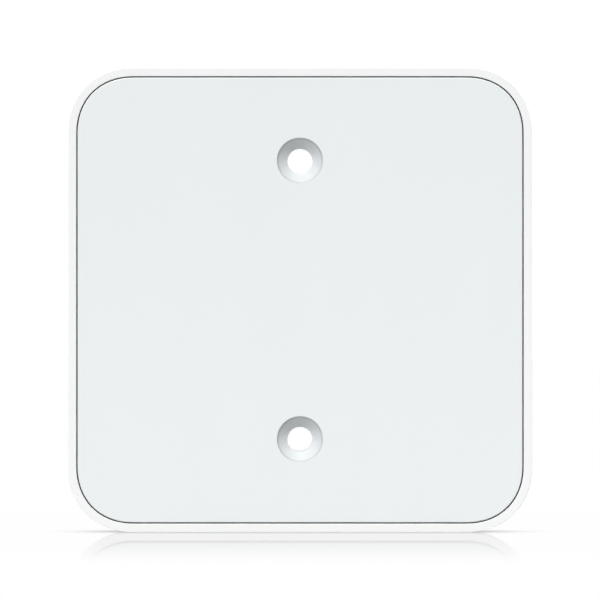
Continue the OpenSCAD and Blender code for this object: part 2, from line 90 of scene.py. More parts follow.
body = span("housing")
panel = span("front_panel")
gasket = span("panel_gasket")
plate = span("base_plate")
sleeve = span("screw_sleeves")
cover = span("cable_exit_cover")
pad = span("rubber_pads")
label = span("rating_label")
button = span("reset_button")
jack = span("jack_shell")
board = span("main_board")
pocket = Span(*openings["cable_pocket"])
channel = Span(*openings["cable_channel"])
HOLE_R = mounts["ceiling_screws"]["dims"]["hole_r_mm"]
HOLE_Y = mounts["ceiling_screws"]["dims"]["spacing_y_mm"] / 2
SINK_R = 4.95  # a countersink's mouth
FRONT = body.z1
EDGE = body.w / 2
GASKET_GAP = 0.05
OPENING = gasket.w / 2 + GASKET_GAP  # half of the hole inside the rim
SEAM = (OPENING + panel.w / 2) / 2  # the middle of the seam, which every large outline follows
WALL = EDGE - OPENING
LEDGE_W, LEDGE_T = 1.85, 1.8  # the case's ledge under the panel
BASE_Z0 = plate.z0
BASE_T = 2.2
BOARD_SIDE = BASE_Z0 + BASE_T  # the base plate's face towards the board
SCREW_AT = 41.0  # the case screws lie at (+-41, +-41)
STUD_X, STUD_Y = 41.5, 15  # the board's studs lie at (+-41.5, +-15)
HEAD_SINK, HEAD_SINK_R = 1.3, 2.6  # the recess for a case screw's head
PAD_R = 4.0
TONGUE = 0.9  # the exit cover's runners, in the case's grooves
ROOM = 0.2  # left round a plug, or round a piece that slides

# ---- camera ----

VIEW_W = 129.2 * MM  # what the picture spans at the face
VIEW_D = 4.0  # so far off that the view is flat, as in the photograph
SENSOR = 36.0
camera_data = bpy.data.cameras.new("camera")
camera_data.sensor_width = SENSOR
camera_data.lens = SENSOR * VIEW_D / VIEW_W
camera_data.clip_start, camera_data.clip_end = 0.1, 60
camera = bpy.data.objects.new("camera", camera_data)
bpy.context.scene.collection.objects.link(camera)
camera.location = (0, -FRONT * MM - VIEW_D, 0)
camera.rotation_euler = (math.radians(90), 0, 0)
bpy.context.scene.camera = camera
bpy.context.scene.view_settings.view_transform = "Standard"

# ---- node trees ----


class Tree:
    """Short calls that build a node tree. A value may be an output, a number or a colour."""

    def __init__(self, tree):
        self.tree = tree

    def node(self, kind, **settings):
        made = self.tree.nodes.new(kind)
        for setting, value in settings.items():
            setattr(made, setting, value)
        return made

    def feed(self, socket, value):
        """Links an output to a socket, or sets the socket to a number or a colour."""
        if isinstance(value, bpy.types.NodeSocket):
            self.tree.links.new(value, socket)
        elif isinstance(value, tuple):
            socket.default_value = (*value, 1) if socket.type == "RGBA" else value
        else:
            socket.default_value = value

    def math(self, operation, *values):
        made = self.node("ShaderNodeMath", operation=operation)
        for socket, value in zip(made.inputs, values):
            self.feed(socket, value)
        return made.outputs["Value"]

    def fit(self, value, low, high, to_low=0.0, to_high=1.0, **settings):
        """The value's place between low and high, kept inside them, on a scale from to_low to to_high."""
        made = self.node("ShaderNodeMapRange", **settings)
        for socket, number in (("Value", value), ("From Min", low), ("From Max", high),
                               ("To Min", to_low), ("To Max", to_high)):
            self.feed(made.inputs[socket], number)
        return made.outputs["Result"]

    def length(self, vector):
        made = self.node("ShaderNodeVectorMath", operation="LENGTH")
        self.feed(made.inputs[0], vector)
        return made.outputs["Value"]

    def part(self, vector, name):
        """The X, Y or Z of a vector."""
        parts = self.node("ShaderNodeSeparateXYZ")
        self.feed(parts.inputs["Vector"], vector)
        return parts.outputs[name]

    def mixed(self, factor, first, second):
        """A blend of two shaders."""
        made = self.node("ShaderNodeMixShader")
        for socket, value in zip(made.inputs, (factor, first, second)):
            self.feed(socket, value)
        return made.outputs["Shader"]

    def seen_strength(self, seen, lighting):
        """A strength that is seen by the camera and in mirrors, and lighting for the light that it gives."""
        path = self.node("ShaderNodeLightPath").outputs
        looked_at = self.math("MAXIMUM", path["Is Camera Ray"], path["Is Glossy Ray"])
        return self.fit(looked_at, 0, 1, lighting, seen)


# ---- light: the fills come from behind the face, so that they reach only the sides and the back ----


def sun(name, towards, face_share, spread):
    """A soft sun that comes from the direction towards, and gives a surface facing it face_share of white."""
    data = bpy.data.lights.new(name, "SUN")
    data.energy = face_share * math.pi
    data.angle = math.radians(spread)
    light = bpy.data.objects.new(name, data)
    bpy.context.scene.collection.objects.link(light)
    light.rotation_euler = Vector(towards).to_track_quat("Z", "Y").to_euler()


sun("key", (-0.19, -1.0, 0.78), 1.03, 30)
sun("back_fill", (0.5, 0.8, 0.2), 0.5, 40)
sun("right_fill", (1.0, 0.2, 0.1), 0.3, 30)
sun("left_fill", (-1.0, 0.15, 0.1), 0.35, 30)
sun("floor_glow", (-0.05, 0.12, -1.0), 0.8, 40)

AMBIENT = 0.10
BACKDROP = 1.28
WHITE_LIGHT = (1, 1, 1)
world = bpy.data.worlds.new("studio")
world.use_nodes = True
bpy.context.scene.world = world
studio = Tree(world.node_tree)
backdrop = world.node_tree.nodes["Background"]
studio.feed(backdrop.inputs["Color"], WHITE_LIGHT)
studio.feed(backdrop.inputs["Strength"], studio.seen_strength(BACKDROP, AMBIENT))

# ---- floor ----


def floor_material():
    """White, glossy near the object, with a painted contact shadow where they meet, and clear from below. In
    metres.
    """
    mat = bpy.data.materials.new("floor")
    mat.use_nodes = True
    mat.node_tree.nodes.clear()
    tree = Tree(mat.node_tree)
    here = tree.node("ShaderNodeNewGeometry").outputs
    near, far, mirrored, mirrored_light = 0.12, 0.55, 0.36, 0.3
    polish = tree.fit(tree.length(here["Position"]), near, far, mirrored, 0, interpolation_type="SMOOTHSTEP")
    gloss = tree.node("ShaderNodeBsdfGlossy")
    gloss.inputs["Roughness"].default_value = 0.025
    # Painted contact shadow: the floor's glow darkens by ambient occlusion near the object, and fades out
    # beyond its sides.
    shade_reach, shade_depth, shade_in, shade_out = 0.035, 0.7, 0.036, 0.058
    sky = tree.node("ShaderNodeAmbientOcclusion")
    sky.inputs["Distance"].default_value = shade_reach
    shade = tree.fit(sky.outputs["AO"], 0, 1, shade_depth, 0)
    aside = tree.math("ABSOLUTE", tree.part(here["Position"], "X"))
    inwards = tree.fit(aside, shade_in, shade_out, -1, 0, interpolation_type="SMOOTHSTEP")
    contact = tree.math("MULTIPLY_ADD", shade, inwards, 1)
    polish_loss = -0.08
    level = tree.math("MULTIPLY", contact, tree.math("MULTIPLY_ADD", polish, polish_loss, 1))
    glow = tree.node("ShaderNodeEmission")
    tree.feed(glow.inputs["Strength"], tree.math("MULTIPLY", level, tree.seen_strength(1, AMBIENT)))
    mirror = tree.math("MULTIPLY", polish, tree.seen_strength(1, mirrored_light))
    top = tree.mixed(mirror, glow.outputs["Emission"], gloss.outputs["BSDF"])
    clear = tree.node("ShaderNodeBsdfTransparent").outputs["BSDF"]
    out = tree.node("ShaderNodeOutputMaterial")
    tree.feed(out.inputs["Surface"], tree.mixed(here["Backfacing"], top, clear))
    return mat


def make_floor():
    size, gap = 12, 0.02 * MM
    z = body.y0 * MM - gap
    corners = [(-size, -size, z), (size, -size, z), (size, size, z), (-size, size, z)]
    mesh = bpy.data.meshes.new("floor")
    mesh.from_pydata(corners, [], [(0, 1, 2, 3)])
    mesh.materials.append(floor_material())
    floor = bpy.data.objects.new("floor", mesh)
    floor.visible_shadow = False
    bpy.context.scene.collection.objects.link(floor)


make_floor()

# ---- outlines: each gives (x, y) points anticlockwise, and grows by an offset ----

CORNER_STEPS = 24
CORNER_REACH = 12.3
SQUARENESS = 2.18  # 2 would give a circle's arc


def soft_square(offset):
    """The seam's curve moved outwards by offset. Its corners are a little squarer than a circle's arc."""
    power = 2 / SQUARENESS
    centre = SEAM - CORNER_REACH
    points = []
    for quarter in range(4):
        turn = Matrix.Rotation(quarter * math.pi / 2, 2)
        for k in range(CORNER_STEPS + 1):
            t = math.pi / 2 * k / CORNER_STEPS
            u, v = max(math.cos(t), 0) ** power, math.sin(t) ** power
            normal = Vector((u ** (SQUARENESS - 1), v ** (SQUARENESS - 1))).normalized()
            reach = Vector((u, v)) * CORNER_REACH
            points.append(turn @ (Vector((centre, centre)) + reach + normal * offset))
    return points


def soft_square_at(edge):
    """An outline function for the soft square whose own edge is moved outwards by edge."""
    return lambda offset=0.0: soft_square(edge + offset)


def rounded(width, height, radius, steps=6):
    """An outline function for a rounded rectangle about the origin."""

    def outline(offset=0.0):
        r = radius + offset
        points = []
        for quarter in range(4):
            a0 = quarter * math.pi / 2
            sx, sy = (1, -1, -1, 1)[quarter], (1, 1, -1, -1)[quarter]
            centre = Vector((sx * (width / 2 - radius), sy * (height / 2 - radius)))
            for k in range(steps + 1):
                a = a0 + math.pi / 2 * k / steps
                points.append(centre + Vector((math.cos(a), math.sin(a))) * r)
        return points

    return outline


def round_hole(radius, steps=64):
    """An outline function for a circle about the origin."""

    def outline(offset=0.0):
        r = radius + offset
        return [Vector((r * math.cos(2 * math.pi * k / steps), r * math.sin(2 * math.pi * k / steps)))
                for k in range(steps)]

    return outline


def arc(centre, height, radius, start, end, steps=4):
    """(offset, z) points round a quarter or part of a circle, from start to end degrees."""
    angles = [math.radians(start + (end - start) * k / steps) for k in range(steps + 1)]
    return [(centre + radius * math.cos(a), height + radius * math.sin(a)) for a in angles]


# ---- meshes, in bench millimetres ----


def outward(bm):
    """Turns every face of a closed mesh to the outside."""
    bmesh.ops.recalc_face_normals(bm, faces=bm.faces)
    if bm.calc_volume(signed=True) < 0:
        bmesh.ops.reverse_faces(bm, faces=bm.faces)
    return bm


def tower(outline, profile, closed=False):
    """A mesh through outline(offset) at each z of the profile; closed joins its last ring to its first."""
    bm = bmesh.new()
    rings = [[bm.verts.new((p.x, p.y, z)) for p in outline(offset)] for offset, z in profile]
    for low, high in zip(rings, rings[1:] + rings[:1] if closed else rings[1:]):
        for i in range(len(low)):
            j = (i + 1) % len(low)
            bm.faces.new((low[i], low[j], high[j], high[i]))
    if not closed:
        bm.faces.new(rings[0][::-1])
        bm.faces.new(rings[-1])
    return outward(bm)


def slab(outline, z0, z1, low_edge=0.0, high_edge=0.0):
    """A plate between two heights, with its lower and upper edges rounded."""
    profile = arc(-low_edge, z0 + low_edge, low_edge, -90, 0) if low_edge else [(0, z0)]
    profile += arc(-high_edge, z1 - high_edge, high_edge, 0, 90) if high_edge else [(0, z1)]
    return tower(outline, profile)


def recess(outline, depth, lip=0.25, floor_edge=0.0):
    """A cutter from z = 0 to depth. Its mouth flares into a rounded lip, which starts a hair outside."""
    hair = 0.01
    profile = [(lip, -1.0), *arc(lip, lip - hair, lip, -90, -180)]
    if floor_edge:
        profile += arc(-floor_edge, depth - floor_edge, floor_edge, 0, 90)
    else:
        profile.append((0, depth))
    return tower(outline, profile)


def moved(bm, x=0.0, y=0.0, z=0.0, turn=None):
    if turn is not None:
        bm.transform(turn)
    bm.transform(Matrix.Translation((x, y, z)))
    return outward(bm)


def block(x0, x1, y0, y1, z0, z1, edge=0.0):
    """A box with softened edges."""
    bm = bmesh.new()
    bmesh.ops.create_cube(bm, size=1)
    size = Matrix.Diagonal((x1 - x0, y1 - y0, z1 - z0, 1))
    bm.transform(Matrix.Translation(((x0 + x1) / 2, (y0 + y1) / 2, (z0 + z1) / 2)) @ size)
    if edge:
        bmesh.ops.bevel(bm, geom=bm.edges, offset=edge, segments=3, profile=0.5, affect="EDGES")
    return outward(bm)


def prism(points, x0, x1):
    """A bar from x0 to x1 whose cross-section is the (y, z) points."""
    bm = bmesh.new()
    ends = [[bm.verts.new((x, y, z)) for y, z in points] for x in (x0, x1)]
    bm.faces.new(ends[0][::-1])
    bm.faces.new(ends[1])
    for i in range(len(points)):
        j = (i + 1) % len(points)
        bm.faces.new((ends[0][i], ends[0][j], ends[1][j], ends[1][i]))
    return outward(bm)


def merged(parts):
    """Several meshes as one, side by side."""
    whole = bmesh.new()
    for part in parts:
        mesh = bpy.data.meshes.new("part")
        part.to_mesh(mesh)
        part.free()
        whole.from_mesh(mesh)
        bpy.data.meshes.remove(mesh)
    return whole


def as_object(bm, name="work"):
    mesh = bpy.data.meshes.new(name)
    bm.to_mesh(mesh)
    bm.free()
    made = bpy.data.objects.new(name, mesh)
    bpy.context.scene.collection.objects.link(made)
    return made


def drop(made):
    mesh = made.data
    bpy.data.objects.remove(made)
    bpy.data.meshes.remove(mesh)


def combine(base, *steps):
    """Applies ("add" or "cut", parts) steps to a mesh. The parts of one step don't touch each other."""
    worked = as_object(base)
    tools = []
    for kind, parts in steps:
        tool = as_object(merged(parts), "tool")
        tools.append(tool)
        change = worked.modifiers.new(kind, "BOOLEAN")
        change.operation = "UNION" if kind == "add" else "DIFFERENCE"
        change.solver = "EXACT"
        change.object = tool
    bpy.context.view_layer.update()
    result = bpy.data.meshes.new_from_object(worked.evaluated_get(bpy.context.evaluated_depsgraph_get()))
    bm = bmesh.new()
    bm.from_mesh(result)
    bpy.data.meshes.remove(result)
    for made in [worked, *tools]:
        drop(made)
    return bm


SAME_POINT = 0.0005
SHARP_ANGLE = math.radians(32)


def piece(name, bm, node):
    """Turns a bench mesh into a piece that stands for a CAD node and moves with that node's body."""
    bmesh.ops.remove_doubles(bm, verts=bm.verts, dist=SAME_POINT)
    bmesh.ops.dissolve_degenerate(bm, edges=bm.edges, dist=SAME_POINT)
    bm.transform(BENCH)
    made = as_object(outward(bm), name)
    made.data.shade_smooth()
    made.data.set_sharp_from_angle(angle=SHARP_ANGLE)
    even = made.modifiers.new("even_shading", "WEIGHTED_NORMAL")
    even.keep_sharp = True
    made.data.materials.append(LOOKS[SLOT_OF[node]].material)
    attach(made, frame["nodes"][node]["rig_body"])
    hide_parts(node)


def quarter_turn(count):
    return Matrix.Rotation(count * math.pi / 2, 4, "Z")


def at_corners(make, x, y):
    """One made part at each of the four points (+-x, +-y)."""
    return [moved(make(), sx * x, sy * y) for sx in (-1, 1) for sy in (-1, 1)]


def at_holes(make):
    """One made part at each ceiling screw's hole."""
    return [moved(make(), 0, side * HOLE_Y) for side in (-1, 1)]


# ---- materials: lengths in a material are millimetres ----


class Look(Tree):
    """A Principled material, with short calls for its patterns."""

    def __init__(self, name, colour, roughness, constants=()):
        self.name = name
        self.material = bpy.data.materials.new(name)
        self.material.use_nodes = True
        super().__init__(self.material.node_tree)
        self.shader = self.tree.nodes["Principled BSDF"]
        self.normal = None
        self.colour(colour)
        self.roughness(roughness)
        for socket, value in constants:
            self.shader.inputs[socket].default_value = value
        self.where = self.node("ShaderNodeTexCoord").outputs
        self.at = self.stretched((1, 1, 1))

    def stretched(self, factors, turn=(0, 0, 0)):
        """Object coordinates in millimetres, squeezed by a factor along each axis."""
        scaled = self.node("ShaderNodeMapping")
        scaled.inputs["Scale"].default_value = [f / MM for f in factors]
        scaled.inputs["Rotation"].default_value = [math.radians(a) for a in turn]
        self.feed(scaled.inputs["Vector"], self.where["Object"])
        return scaled.outputs["Vector"]

    def noise(self, grain, detail=2.0, at=None):
        """Smooth noise whose blotches are about grain across."""
        made = self.node("ShaderNodeTexNoise")
        self.feed(made.inputs["Vector"], at or self.at)
        self.feed(made.inputs["Scale"], 1 / grain)
        self.feed(made.inputs["Detail"], detail)
        return made.outputs["Fac"]

    def cells(self, size, output="Distance", feature="F1", at=None):
        """Voronoi cells about size across: how far their middles are, or one colour to a cell."""
        made = self.node("ShaderNodeTexVoronoi", feature=feature)
        self.feed(made.inputs["Vector"], at or self.at)
        self.feed(made.inputs["Scale"], 1 / size)
        return made.outputs[output]

    def bricks(self, width, height, line, at):
        """1 on the lines between rows of long bricks, 0 inside them."""
        made = self.node("ShaderNodeTexBrick", offset=0.37)
        self.feed(made.inputs["Vector"], at)
        for socket, value in (("Scale", 1.0), ("Mortar Size", line), ("Mortar Smooth", 0.1),
                              ("Brick Width", width), ("Row Height", height)):
            self.feed(made.inputs[socket], value)
        return made.outputs["Fac"]

    def blend(self, factor, first, second):
        """A mix of two colours."""
        made = self.node("ShaderNodeMix", data_type="RGBA")
        self.feed(made.inputs["Factor"], factor)
        colours = [socket for socket in made.inputs if socket.type == "RGBA"]
        self.feed(colours[0], first)
        self.feed(colours[1], second)
        return next(socket for socket in made.outputs if socket.type == "RGBA")

    def colour(self, value):
        self.feed(self.shader.inputs["Base Color"], value)

    def roughness(self, value):
        self.feed(self.shader.inputs["Roughness"], value)

    def relief(self, height, depth, strength=1.0):
        """Adds bumps that rise by depth where height is 1."""
        made = self.node("ShaderNodeBump")
        self.feed(made.inputs["Height"], height)
        self.feed(made.inputs["Distance"], depth * MM)
        self.feed(made.inputs["Strength"], strength)
        if self.normal:
            self.feed(made.inputs["Normal"], self.normal)
        self.normal = made.outputs["Normal"]
        self.feed(self.shader.inputs["Normal"], self.normal)


def shades(colour, *factors):
    return [tuple(c * f for c in colour) for f in factors]


def moulded(name, colour, roughness=0.42, grain=0.22, depth=0.004, flow=0.012):
    """Injection-moulded plastic: a fine eroded grain, and flow marks too faint to see except in the gloss."""
    look = Look(name, colour, roughness)
    dark, light = shades(colour, 1 - flow, 1 + flow)
    streaks = look.noise(14, 3, look.stretched((1, 1, 0.35)))
    look.colour(look.blend(streaks, dark, light))
    fine = look.noise(grain, 3)
    look.roughness(look.fit(look.math("ADD", fine, streaks), 0.6, 1.4, roughness - 0.05, roughness + 0.06))
    look.relief(fine, depth, 0.6)
    look.relief(look.cells(grain * 1.6, feature="SMOOTH_F1"), depth * 0.6, 0.4)
    return look


def face_plastic():
    """The panel's plastic, with painted shade in its countersinks, darkest in a ring just inside the mouth.
    """
    look = moulded("panel_plastic", COOL_WHITE, 0.44, depth=0.003, flow=0.006)
    face = look.shader.inputs["Base Color"].links[0].from_socket
    x = look.part(look.at, "X")
    z = look.math("SUBTRACT", look.math("ABSOLUTE", look.part(look.at, "Z")), HOLE_Y)
    away = look.math("SQRT", look.math("ADD", look.math("MULTIPLY", x, x), look.math("MULTIPLY", z, z)))
    # Painted shade: inside each countersink the colour drops to 0.88-0.93 of the face's white, in noise, and
    # in a ring just inside the mouth to 0.84 of that.
    blur, ring_in, ring_out, mouth_painted_shade = 0.05, 0.45, 0.25, 0.84
    cone = look.fit(away, SINK_R - blur, SINK_R + blur, 1, 0)
    ring = look.fit(away, SINK_R - ring_in, SINK_R - ring_out, 1, mouth_painted_shade)
    cone_painted_shade = look.math("MULTIPLY", look.fit(look.noise(0.5, 3), 0.3, 0.7, 0.88, 0.93), ring)
    painted_shade_colour = look.node("ShaderNodeVectorMath", operation="SCALE")
    look.feed(painted_shade_colour.inputs[0], COOL_WHITE)
    look.feed(painted_shade_colour.inputs["Scale"], cone_painted_shade)
    look.colour(look.blend(cone, face, painted_shade_colour.outputs["Vector"]))
    return look


def metal(name, colour, roughness=0.3, brush=(0.06, 1, 1), depth=0.002, tarnish=0.12, blotch=3.0):
    """Metal with scratches along one axis and a little tarnish in blotches."""
    look = Look(name, colour, roughness, [("Metallic", 1.0)])
    scratches = look.noise(0.12, 4, look.stretched(brush))
    blotches = look.noise(blotch, 4)
    dark, light = shades(colour, 1 - tarnish, 1.03)
    look.colour(look.blend(look.fit(blotches, 0.35, 0.65), dark, light))
    spread = look.math("ADD", scratches, blotches)
    look.roughness(look.fit(spread, 0.7, 1.3, roughness - 0.08, roughness + 0.14))
    look.relief(scratches, depth, 0.5)
    return look


def rubbery(name, colour, roughness, grain, depth):
    """Rubber, foam or a gap pad: open cells, dusty high spots and a dull face."""
    look = Look(name, colour, roughness)
    pores = look.cells(grain, feature="SMOOTH_F1")
    dust = look.noise(grain * 9, 4)
    dark, light = shades(colour, 0.8, 1.25)
    worn = look.math("MULTIPLY", look.fit(pores, 0.1, 0.7), look.fit(dust, 0.3, 0.7))
    look.colour(look.blend(worn, dark, light))
    look.roughness(look.fit(dust, 0.3, 0.7, roughness - 0.06, min(roughness + 0.08, 1)))
    look.relief(pores, depth, 0.8)
    look.relief(look.noise(grain * 0.4, 3), depth * 0.4, 0.5)
    return look


def epoxy(name, colour=(0.028, 0.028, 0.03)):
    """Moulded chip body: sandy black epoxy with paler flecks of filler."""
    look = Look(name, colour, 0.55)
    flecks = look.fit(look.cells(0.16), 0.0, 0.22, 1, 0)
    dark, light = shades(colour, 0.85, 2.4)
    look.colour(look.blend(look.math("MULTIPLY", flecks, look.noise(0.7, 2)), dark, light))
    sand = look.noise(0.09, 3)
    look.roughness(look.fit(sand, 0.3, 0.7, 0.46, 0.66))
    look.relief(sand, 0.01, 0.7)
    return look


def ceramic(name, colour, speck=0.3):
    """Fired ceramic: chalky, with darker specks and a waxy face."""
    look = Look(name, colour, 0.38)
    dark, light = shades(colour, 0.72, 1.06)
    specks = look.fit(look.noise(speck, 4), 0.38, 0.55)
    look.colour(look.blend(specks, dark, light))
    look.roughness(look.fit(specks, 0, 1, 0.5, 0.34))
    look.relief(look.noise(speck * 0.4, 3), 0.006, 0.5)
    return look


def laminate():
    """Solder mask over copper tracks and vias, with a bare glass-fibre edge."""
    mask, track, bare = (0.008, 0.062, 0.036), (0.018, 0.125, 0.068), (0.42, 0.4, 0.2)
    look = Look("board_laminate", mask, 0.3)
    flat = look.stretched((1, 1, 1), (90, 0, 0))
    across = look.stretched((1, 1, 1), (90, 0, 90))
    region = look.fit(look.cells(13, "Color"), 0.45, 0.5)
    rows = look.bricks(17, 0.62, 0.14, flat)
    columns = look.bricks(11, 0.62, 0.14, across)
    tracks = look.math("MAXIMUM", look.math("MULTIPLY", rows, region),
                       look.math("MULTIPLY", columns, look.math("SUBTRACT", 1.0, region)))
    tracks = look.math("MULTIPLY", tracks, look.fit(look.noise(9, 1), 0.42, 0.46))
    vias = look.fit(look.cells(2.1, at=flat), 0.1, 0.12, 1, 0)
    copper = look.math("MAXIMUM", tracks, vias)
    edge = look.fit(look.math("ABSOLUTE", look.part(look.where["Normal"], "Y")), 0.4, 0.6, 1, 0)
    fibres = look.blend(look.noise(0.2, 3, look.stretched((0.2, 3, 0.2))), *shades(bare, 0.6, 1.1))
    face = look.blend(copper, look.blend(look.noise(20, 3), *shades(mask, 0.85, 1.15)), track)
    pads = look.fit(look.cells(2.1, at=flat), 0.05, 0.06, 1, 0)
    look.colour(look.blend(edge, look.blend(pads, face, (0.75, 0.62, 0.34)), fibres))
    look.roughness(look.fit(look.math("MAXIMUM", edge, look.noise(0.8, 3)), 0.3, 1, 0.24, 0.75))
    look.relief(copper, 0.035)
    look.relief(look.noise(0.5, 2), 0.004, 0.5)
    return look


def wound_tape():
    """Yellow polyester tape over the winding, layer on layer, with darker varnish at the edges."""
    colour = (0.72, 0.46, 0.06)
    look = Look("winding_tape", colour, 0.28)
    layers = look.node("ShaderNodeTexWave", wave_type="BANDS", bands_direction="Y")
    look.feed(layers.inputs["Vector"], look.at)
    look.feed(layers.inputs["Scale"], 0.32)
    look.feed(layers.inputs["Distortion"], 0.6)
    lines = look.fit(layers.outputs["Fac"], 0.0, 0.2, 1, 0)
    varnish = look.fit(look.noise(3, 4), 0.4, 0.65)
    tape = look.blend(varnish, *shades(colour, 0.75, 1.08))
    look.colour(look.blend(lines, tape, (0.3, 0.15, 0.02)))
    look.roughness(look.fit(varnish, 0, 1, 0.42, 0.22))
    look.relief(look.math("SUBTRACT", 1.0, lines), 0.05)
    return look


def clear_light_pipe():
    """Clear acrylic with faint mould haze."""
    look = Look("light_acrylic", (0.93, 0.96, 0.97), 0.06, [("Transmission Weight", 0.85), ("IOR", 1.49)])
    haze = look.noise(1.2, 4)
    look.colour(look.blend(haze, (0.86, 0.91, 0.93), (0.96, 0.98, 0.98)))
    look.roughness(look.fit(haze, 0.3, 0.7, 0.04, 0.16))
    look.relief(look.noise(0.5, 2), 0.003, 0.5)
    return look


def led():
    """Milky yellow phosphor resin in a white cup."""
    look = Look("led_resin", (0.9, 0.78, 0.3), 0.3, [("Subsurface Weight", 0.15)])
    cup = look.fit(look.length(look.stretched((1, 0, 1))), 1.05, 1.15)
    resin = look.blend(look.noise(0.3, 3), (0.82, 0.66, 0.16), (0.95, 0.84, 0.36))
    look.colour(look.blend(cup, resin, (0.86, 0.86, 0.83)))
    look.roughness(look.fit(cup, 0, 1, 0.18, 0.5))
    look.relief(cup, 0.06)
    return look


def film(name, colour):
    """Blank printed film: a keyline near its edge, paper fibres and a slight sheen."""
    look = Look(name, colour, 0.34)
    line_at, line_w, blur = 0.9, 0.16, 0.03
    outside = []
    for axis, middle, length in (("X", label.x, label.w), ("Z", label.y, label.h)):
        away = look.math("ABSOLUTE", look.math("SUBTRACT", look.part(look.at, axis), middle))
        outside.append(look.math("SUBTRACT", away, length / 2 - line_at))
    edge = look.math("ABSOLUTE", look.math("MAXIMUM", *outside))
    line = look.fit(edge, line_w / 2, line_w / 2 + blur, 1, 0)
    fibres = look.noise(0.5, 4, look.stretched((0.4, 1, 1)))
    look.colour(look.blend(line, look.blend(fibres, *shades(colour, 0.95, 1.02)), (0.35, 0.36, 0.37)))
    look.roughness(look.fit(fibres, 0.3, 0.7, 0.28, 0.42))
    look.relief(fibres, 0.004, 0.5)
    look.relief(line, 0.006)
    return look


def passives():
    """Rows of small chip parts: brown or grey ceramic, one shade to a part, with tinned ends."""
    look = Look("passive_ceramic", (0.3, 0.2, 0.12), 0.4)
    kind = look.cells(2.1, "Color", at=look.stretched((1, 0, 1)))
    look.colour(look.blend(kind, (0.36, 0.24, 0.13), (0.05, 0.05, 0.055)))
    look.roughness(look.fit(look.noise(0.3, 3), 0.3, 0.7, 0.3, 0.5))
    look.relief(look.noise(0.15, 3), 0.006, 0.5)
    return look


WHITE, COOL_WHITE = (0.89, 0.897, 0.896), (0.81, 0.842, 0.852)
LOOKS = {look.name: look for look in (
    moulded("housing_plastic", WHITE, 0.4),
    face_plastic(),
    moulded("base_plastic", (0.79, 0.8, 0.8), 0.5, grain=0.35, depth=0.02, flow=0.03),
    rubbery("gasket_foam", (0.055, 0.056, 0.058), 0.85, 0.22, 0.05),
    metal("zinc_steel", (0.62, 0.64, 0.67), 0.3, brush=(1, 0.08, 1)),
    metal("screw_steel", (0.66, 0.66, 0.65), 0.26, brush=(1, 0.15, 1), tarnish=0.2, blotch=0.8),
    rubbery("pad_rubber", (0.035, 0.036, 0.038), 0.72, 0.35, 0.02),
    film("label_film", (0.84, 0.84, 0.83)),
    moulded("button_plastic", (0.035, 0.037, 0.04), 0.42, grain=0.15, depth=0.01, flow=0.1),
    moulded("switch_plastic", (0.05, 0.05, 0.053), 0.5, grain=0.12, depth=0.01, flow=0.15),
    moulded("stem_plastic", (0.02, 0.02, 0.021), 0.45, grain=0.12, depth=0.008, flow=0.15),
    laminate(),
    metal("jack_metal", (0.68, 0.68, 0.66), 0.24, brush=(0.1, 1, 1), tarnish=0.15),
    moulded("jack_plastic", (0.022, 0.022, 0.024), 0.48, grain=0.2, depth=0.008, flow=0.12),
    metal("gold_contact", (0.82, 0.57, 0.22), 0.2, brush=(0.2, 1, 1), tarnish=0.1),
    epoxy("chip_epoxy"),
    metal("tinned_lead", (0.7, 0.7, 0.68), 0.32, tarnish=0.25, blotch=0.6),
    ceramic("ferrite", (0.055, 0.055, 0.058), 0.5),
    wound_tape(),
    metal("capacitor_metal", (0.72, 0.73, 0.75), 0.22, brush=(1, 0.1, 1)),
    moulded("capacitor_plastic", (0.018, 0.018, 0.02), 0.5, grain=0.2, depth=0.01, flow=0.1),
    metal("shield_tin", (0.7, 0.71, 0.7), 0.3, brush=(0.08, 1, 1), tarnish=0.16, blotch=5),
    rubbery("thermal_pad", (0.19, 0.25, 0.31), 0.6, 0.5, 0.03),
    metal("sink_aluminium", (0.58, 0.59, 0.6), 0.38, brush=(1, 1, 0.06), tarnish=0.1),
    metal("antenna_metal", (0.66, 0.65, 0.6), 0.28, brush=(1, 1, 0.1), tarnish=0.12),
    ceramic("ceramic", (0.78, 0.77, 0.72)),
    led(),
    clear_light_pipe(),
    metal("crystal_can", (0.7, 0.69, 0.66), 0.24, tarnish=0.12, blotch=1.5),
    passives(),
    moulded("header_plastic", (0.02, 0.02, 0.022), 0.46, grain=0.15, depth=0.008, flow=0.12),
)}
for node, made in frame["nodes"].items():
    for holder in made.material_slots:
        holder.material = LOOKS[SLOT_OF[node]].material

# ---- pieces rebuilt for their looks: each stands for its CAD node ----


def onto_side(side):
    """Turns a recess so that it sinks into the wall at y = side * EDGE."""
    return Matrix.Rotation(side * math.pi / 2, 4, "X")


ONTO_LEFT = Matrix(((0, 0, 1, 0), (1, 0, 0, 0), (0, 1, 0, 0), (0, 0, 0, 1)))
FULLY_ROUND = 0.01  # a slot's ends stop this short of a half circle, so that their points stay apart


def side_vents():
    slot_w, slot_l, lip = 1.5, 5.6, 0.3
    pitch, count, height, past_wall = 3.6, 17, 7, 1
    for side in (-1, 1):
        for k in range(count):
            cutter = recess(rounded(slot_w, slot_l, slot_w / 2 - FULLY_ROUND), WALL + past_wall, lip)
            yield moved(cutter, (k - (count - 1) / 2) * pitch, side * EDGE, height, onto_side(side))


